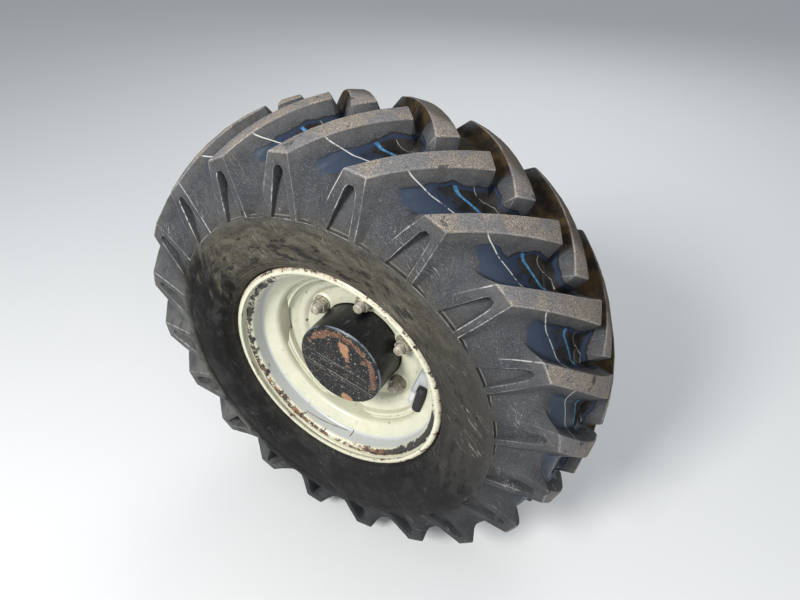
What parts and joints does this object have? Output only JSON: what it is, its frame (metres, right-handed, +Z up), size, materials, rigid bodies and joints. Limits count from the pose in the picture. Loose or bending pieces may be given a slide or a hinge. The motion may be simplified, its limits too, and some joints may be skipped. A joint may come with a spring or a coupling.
{
  "type": "site dumper wheel end",
  "caption": "Front wheel end of a site dumper: lugged tyre on a dished steel wheel, hub with deep round cap, and the axle arm that carries it. The wheel turns freely.",
  "frame": {"origin": "centre of the axle arm's inboard bolting face, on the wheel's axis", "axes": "+Z up, +X towards the front of the machine, +Y inboard along the wheel's axis; the wheel lies towards -Y"},
  "size_m": [0.8966, 0.739, 0.8966],
  "materials": {
    "tyre_rubber": "worn black rubber with dried dirt",
    "wheel_paint": "chipped cream gloss paint",
    "valve_rubber": "matt",
    "valve_plastic": "matt",
    "guard_steel": "painted sheet, worn",
    "hub_paint": "black paint, scratched, rust on the face",
    "bare_steel": "machined, oiled",
    "stud_steel": "dull, over-painted and dusty",
    "nut_steel": "dull, over-painted and dusty",
    "seal_rubber": "matt",
    "arm_casting": "painted casting, dusty"
  },
  "bodies": {
    "axle_end": {"axle_arm": "arm_casting", "spindle": "bare_steel", "seal_ring": "seal_rubber"},
    "wheel": {"tyre": "tyre_rubber", "rim_barrel": "wheel_paint", "wheel_disc": "wheel_paint", "valve_stem": "valve_rubber", "valve_cap": "valve_plastic", "valve_guard": "guard_steel", "hub_body": "hub_paint", "hub_cap": "hub_paint", "half_shaft": "bare_steel", "wheel_stud_1": "stud_steel", "wheel_stud_2": "stud_steel", "wheel_stud_3": "stud_steel", "wheel_stud_4": "stud_steel", "wheel_stud_5": "stud_steel", "wheel_stud_6": "stud_steel", "wheel_nut_1": "nut_steel", "wheel_nut_2": "nut_steel", "wheel_nut_3": "nut_steel", "wheel_nut_4": "nut_steel", "wheel_nut_5": "nut_steel", "wheel_nut_6": "nut_steel"}
  },
  "joints": [
    {"name": "wheel_spin", "type": "hinge", "parent": "axle_end", "child": "wheel", "pos_m": [0, -0.52, 0], "axis": [0, 1, 0], "continuous": true}
  ]
}
